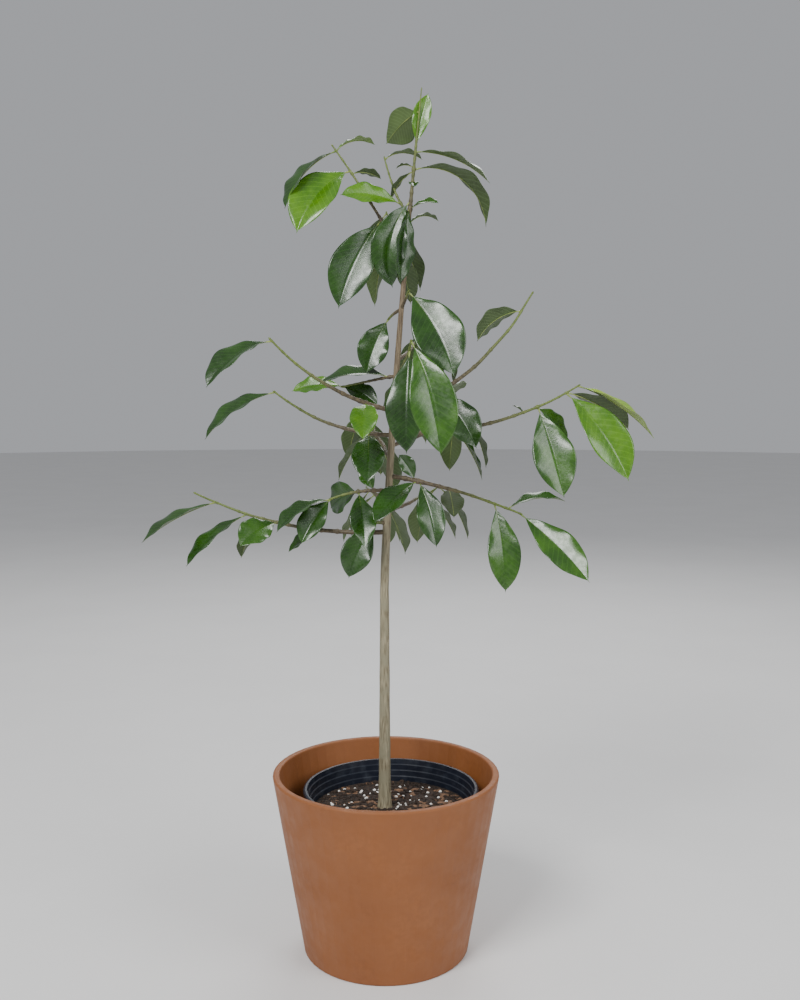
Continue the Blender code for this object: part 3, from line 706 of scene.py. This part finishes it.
def leaf_top(tone):
    """Glossy green, mottled, with paler veins."""
    dark, light = LEAF_TONES[tone]
    pale = shade(light, 1.7, 0.012)
    finish = Finish("leaf_top_" + tone)
    veins = finish.side_veins(0.10)
    faint = finish.node("ShaderNodeMath", {0: veins, 1: 0.38}, operation="MULTIPLY").outputs[0]
    mottled = finish.mix(finish.patches(28.0, 5.0, low=0.32, high=0.70), dark, light)
    finish.colour(finish.mix(faint, mottled, pale))
    finish.roughness(finish.patches(160.0, 3.0, low_to=0.20, high_to=0.36))
    finish.shader.inputs["Specular IOR Level"].default_value = 0.55
    finish.shader.inputs["Coat Weight"].default_value = 0.25
    finish.shader.inputs["Coat Roughness"].default_value = 0.18
    finish.bump(0.22, 0.0006, finish.noise(420.0, 3.0))
    return finish.material


def leaf_under(tone):
    """Matt grey-green underside with pale veins."""
    green = UNDER_TONES[tone]
    finish = Finish("leaf_under_" + tone)
    mottled = finish.mix(finish.patches(36.0), shade(green, 0.82), shade(green, 1.12))
    finish.colour(finish.mix(finish.side_veins(0.09), mottled, shade(green, 1.5, 0.02)))
    finish.roughness(finish.patches(200.0, 3.0, low_to=0.42, high_to=0.58))
    finish.bump(0.25, 0.0006, finish.noise(520.0, 3.0))
    return finish.material


def rib_finish():
    """Yellow-green stalks and midribs."""
    finish = Finish("leaf_rib")
    finish.colour(finish.mix(finish.patches(90.0, 3.0), *RIB_COLOURS))
    finish.roughness(finish.patches(300.0, 2.0, low_to=0.35, high_to=0.5))
    return finish.material


def twig_finish():
    """Dark brown bark that turns green towards the shoot's tip."""
    finish = Finish("twig")
    age = finish.node("ShaderNodeAttribute", attribute_name="age").outputs["Fac"]
    patches = finish.patches(260.0)
    old = finish.mix(patches, *OLD_TWIG_COLOURS)
    young = finish.mix(patches, *YOUNG_TWIG_COLOURS)
    finish.colour(finish.mix(finish.ramp(age, 0.35, 0.85), old, young))
    finish.roughness(0.55)
    finish.bump(0.5, 0.0008, finish.noise(700.0, 3.0))
    return finish.material


def bark_finish():
    """Grey-tan bark with fine upright streaks, browner towards the top."""
    finish = Finish("bark")
    drawn_out = finish.node("ShaderNodeMapping", {"Vector": finish.place, "Scale": (520.0, 520.0, 46.0)})
    inputs = {"Vector": drawn_out.outputs["Vector"], "Scale": 1.0, "Detail": 4.0}
    grain = finish.node("ShaderNodeTexNoise", inputs).outputs["Fac"]
    streaks = finish.ramp(grain, 0.34, 0.66)
    blotches = finish.patches(60.0, low=0.35, high=0.68)
    low = finish.mix(blotches, finish.mix(streaks, *LOW_BARK_COLOURS), BARK_BLOTCH)
    high = finish.mix(streaks, *HIGH_BARK_COLOURS)
    height = finish.node("ShaderNodeSeparateXYZ", {0: finish.place}).outputs["Z"]
    finish.colour(finish.mix(finish.ramp(height, 0.55, 0.95), low, high))
    finish.roughness(0.72)
    finish.bump(0.7, 0.001, grain)
    return finish.material


def cover_finish():
    """Matt terracotta colour with soft cloudy patches and a fine grain."""
    finish = Finish("cover_pot_face")
    clouds = finish.mix(finish.patches(9.0, 5.0), *COVER_COLOURS)
    finish.colour(finish.mix(finish.patches(130.0), clouds, COVER_FRECKLE))
    finish.roughness(finish.patches(40.0, 3.0, low_to=0.50, high_to=0.66))
    finish.bump(0.15, 0.0008, finish.noise(500.0, 3.0))
    return finish.material


def nursery_finish():
    """Dull blue-black plastic with scuffs."""
    finish = Finish("nursery_pot_face")
    finish.colour(finish.mix(finish.patches(70.0, 6.0, low=0.45, high=0.75), *NURSERY_COLOURS))
    finish.roughness(finish.patches(50.0, low_to=0.30, high_to=0.48))
    return finish.material


def soil_finish():
    """Dark crumbly soil."""
    finish = Finish("soil_face")
    finish.colour(finish.mix(finish.patches(240.0, 6.0, low=0.35, high=0.65), *SOIL_COLOURS))
    finish.roughness(0.95)
    finish.bump(1.0, 0.004, finish.noise(200.0, 6.0))
    return finish.material


def plain_finish(name, colours, roughness, scale=300.0):
    """A lightly mottled matt finish."""
    finish = Finish(name)
    finish.colour(finish.mix(finish.patches(scale), *colours))
    finish.roughness(roughness)
    return finish.material


def rib_tube(base, blade):
    """A leaf's stalk and midrib, half sunk into the blade's underside."""
    shares = np.linspace(0.0, RIB_END, RIB_ROWS)
    points, _, normal = leaf_frame(base, blade, shares)
    fade = np.clip((shares - STALK_SHARE) / (1 - STALK_SHARE), 0.0, 1.0)
    radii = np.where(shares < STALK_SHARE, STALK_RADIUS, RIB_RADIUS + (RIB_TIP_RADIUS - RIB_RADIUS) * fade)
    radii[0] = STALK_FOOT_RADIUS
    return tube(points - normal * (radii * RIB_SINK)[:, None], radii, RIB_SIDES)


def leaf_group(name):
    """The piece that a shoot's leaves are joined into."""
    if name in RULED_SHOOTS:
        return "leaves_back"
    foot = SHOOTS[name].foot
    if foot > UPPER_FROM:
        return "leaves_upper"
    return "leaves_middle" if foot > MIDDLE_FROM else "leaves_lower"


def make_leaves(leaves):
    """Every leaf's blade, and its stalk and midrib, as joined pieces."""
    tones = list(LEAF_TONES)
    finishes = [leaf_top(tone) for tone in tones] + [leaf_under(tone) for tone in tones]
    groups = {name: Heap() for name in ("leaves_upper", "leaves_middle", "leaves_lower", "leaves_back")}
    ribs = Heap()
    for name, blades in leaves.items():
        for index, blade in enumerate(blades):
            base = shoot_point(name, blade.place)
            vertices, faces, under, vein = leaf_sheet(base, blade, f"{name}{index}")
            slots = tones.index(blade.tone) + under * len(tones)
            groups[leaf_group(name)].add(vertices, faces, slots, vein=vein)
            ribs.add(*rib_tube(base, blade))
    made = [heap.build(name, finishes) for name, heap in groups.items()]
    made.append(ribs.build("leaf_ribs", [rib_finish()]))
    return made


def twig_mesh(name, joints):
    """One shoot's grained bark, swollen at its joints."""
    shoot = SHOOTS[name]
    places = np.linspace(0.0, shoot.length, round(shoot.length / TWIG_STEP))
    radii = np.array([shoot_radius(name, place) for place in places])
    for joint in joints:
        radii = radii * (1 + NODE_SWELL * np.exp(-(((places - joint) / NODE_LENGTH) ** 2)))
    along, around, apart = TWIG_GRAIN
    relief = []
    for place in places:
        spots = [(place * along, side * around, shoot.foot * apart) for side in range(TWIG_SIDES)]
        relief.append([noise.noise(Vector(spot)) for spot in spots])
    points = [shoot_point(name, place) for place in places]
    age = np.concatenate([np.repeat(places, TWIG_SIDES), [0.0, shoot.length]]) / shoot.length
    return *tube(points, radii, TWIG_SIDES, np.array(relief) * TWIG_RELIEF), age


def bud_mesh(name):
    """The bud at a shoot's tip."""
    shoot = SHOOTS[name]
    tip = shoot_point(name, shoot.length)
    way = tip - shoot_point(name, shoot.length - BUD_AIM)
    way = way / np.linalg.norm(way)
    points = [tip + way * BUD_LENGTH * (step - BUD_SINK) for step in BUD_STEPS]
    return tube(points, np.array(BUD_SWELLS) * shoot.tip_radius, BUD_SIDES)


def make_twigs(leaves):
    """Every shoot with a swelling where each leaf stands, and a bud at its tip."""
    heap = Heap()
    for name, shoot in SHOOTS.items():
        joints = [blade.place for blade in leaves[name]] + [shoot.length * share for share in BARE_NODES]
        vertices, faces, age = twig_mesh(name, joints)
        youngest = YOUNG_SHOOTS.get(name, 0.0)
        heap.add(vertices, faces, age=youngest + age * (1 - youngest))
        heap.add(*bud_mesh(name), age=1.0)
    return [heap.build("twigs", [twig_finish()])]


def bark_ring(height):
    """How far the bark stands out all round the trunk at a height."""
    scale = BARK_RELIEF * min(1.0, trunk_radius(max(height, SOIL_TOP)) / TRUNK_FOOT_RADIUS)
    ring = []
    for side in range(BARK_SIDES):
        x, y = math.cos(math.tau * side / BARK_SIDES), math.sin(math.tau * side / BARK_SIDES)
        grain = noise.noise(Vector((x * BARK_GRAIN_ROUND, y * BARK_GRAIN_ROUND, height * BARK_GRAIN_HEIGHT)))
        lump = noise.noise(Vector((x, y, height * BARK_LUMP_HEIGHT)))
        ring.append(scale * (grain + BARK_LUMP_SHARE * lump))
    return ring


def make_trunk():
    """The trunk with streaked, slightly lumpy bark."""
    foot = SOIL_TOP - TRUNK_SINK
    heights = np.linspace(foot, TRUNK_TOP, round((TRUNK_TOP - foot) / BARK_STEP))
    relief = np.array([bark_ring(height) for height in heights])
    radii = [trunk_radius(max(height, SOIL_TOP)) for height in heights]
    heap = Heap()
    heap.add(*tube([trunk_point(height) for height in heights], radii, BARK_SIDES, relief))
    return [heap.build("trunk_bark", [bark_finish()])]


def lumpy_bit(dice, size, flat):
    """A small lumpy bit as points and faces, from a ball of triangles, turned at random."""
    bm = bmesh.new()
    bmesh.ops.create_icosphere(bm, subdivisions=BIT_ROUNDNESS, radius=1.0)
    shift = Vector([dice.uniform(0, BIT_LUMP_SHIFT) for _ in range(3)])
    swells = [1 + BIT_LUMPS * noise.noise(vertex.co * BIT_LUMP_SIZE + shift) for vertex in bm.verts]
    points = np.array([np.array(vertex.co) * swell * size for vertex, swell in zip(bm.verts, swells)])
    faces = [tuple(corner.index for corner in face.verts) for face in bm.faces]
    bm.free()
    turn = dice.uniform(0, math.tau)
    x, y, z = points.T
    turned = (x * math.cos(turn) - y * math.sin(turn), x * math.sin(turn) + y * math.cos(turn), z * flat)
    return np.stack(turned, axis=1), faces


def scatter(name, bits):
    """Bits strewn over the soil's surface, half sunk into it."""
    dice = random.Random(bits.seed)
    heap = Heap()
    left = bits.count
    while left:
        radius = SOIL_RADIUS * math.sqrt(dice.random())
        angle = dice.uniform(0, math.tau)
        x, y = NURSERY_CENTRE_X + radius * math.cos(angle), radius * math.sin(angle)
        size = dice.uniform(*bits.sizes)
        if math.hypot(x - TRUNK_FOOT_X, y) < TRUNK_ROOM or radius > SOIL_RADIUS - size:
            continue
        points, faces = lumpy_bit(dice, size, bits.flat)
        points[:, 0] *= bits.stretch if dice.random() < 0.5 else 1.0
        fall = SOIL_FALL * max(0.0, (radius - SOIL_FLAT_RADIUS) / (SOIL_RADIUS - SOIL_FLAT_RADIUS))
        points += np.array((x, y, SOIL_TOP - fall + size * bits.flat * dice.uniform(*BIT_LIFT)))
        heap.add(points, faces)
        left -= 1
    return heap.build(name, [plain_finish(bits.finish, bits.colours, bits.roughness)])


def finish_nodes():
    """Gives the pots and the soil their finishes."""
    finishes = {"cover_pot": cover_finish(), "nursery_pot": nursery_finish(), "soil": soil_finish()}
    for name, made in finishes.items():
        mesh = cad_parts[name].data
        mesh.materials.clear()
        mesh.materials.append(made)


def make_plant():
    """Leaves, twigs and bark, each in place of the solids that they dress."""
    leaves = all_leaves()
    foliage = [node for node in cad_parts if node.startswith("foliage_")]
    boughs = [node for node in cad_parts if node.startswith("bough_")]
    blades = make_leaves(leaves)
    twigs = make_twigs(leaves)
    trunk = make_trunk()
    for piece in blades + twigs + trunk:
        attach(piece, "root")
    for piece in blades:
        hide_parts(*foliage)
    for piece in twigs:
        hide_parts(*boughs)
    for piece in trunk:
        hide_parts("trunk")


def make_soil():
    """Crumbs, bark chips and perlite on the soil."""
    for name, bits in SOIL_BITS.items():
        piece = scatter(name, bits)
        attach(piece, "root")


def set_stage():
    """A plain pale floor, soft light all round, and three large soft lamps."""
    bpy.ops.object.select_all(action="DESELECT")
    bpy.ops.mesh.primitive_circle_add(
        vertices=FLOOR_SIDES, radius=FLOOR_RADIUS, fill_type="NGON", location=(0.0, 0.0, 0.0)
    )
    floor = bpy.context.active_object
    floor.name = "floor"
    floor.data.materials.append(plain_finish("floor_paint", FLOOR_COLOURS, 0.9, scale=3.0))
    world = bpy.data.worlds.new("studio")
    bpy.context.scene.world = world
    world.use_nodes = True
    world.node_tree.nodes["Background"].inputs["Color"].default_value = STUDIO_COLOUR
    world.node_tree.nodes["Background"].inputs["Strength"].default_value = STUDIO_STRENGTH
    for name, lamp in LAMPS.items():
        light = bpy.data.lights.new(name, "AREA")
        light.size = lamp.size
        light.energy = lamp.power
        holder = bpy.data.objects.new(name, light)
        holder.location = lamp.place
        holder.rotation_euler = (Vector(LAMP_TARGET) - Vector(lamp.place)).to_track_quat("-Z", "Y").to_euler()
        bpy.context.scene.collection.objects.link(holder)


def set_camera():
    """A level film, dipped a little towards the plant."""
    lens = bpy.data.cameras.new("camera")
    lens.sensor_fit = "VERTICAL"
    lens.sensor_height = CAMERA_FILM
    lens.lens = CAMERA_LENS
    lens.clip_start = 0.01
    camera = bpy.data.objects.new("camera", lens)
    camera.location = CAMERA_PLACE
    camera.rotation_euler = (math.radians(90 - CAMERA_DIP), 0.0, 0.0)
    bpy.context.scene.collection.objects.link(camera)
    bpy.context.scene.camera = camera


set_camera()
set_stage()
finish_nodes()
make_plant()
make_soil()
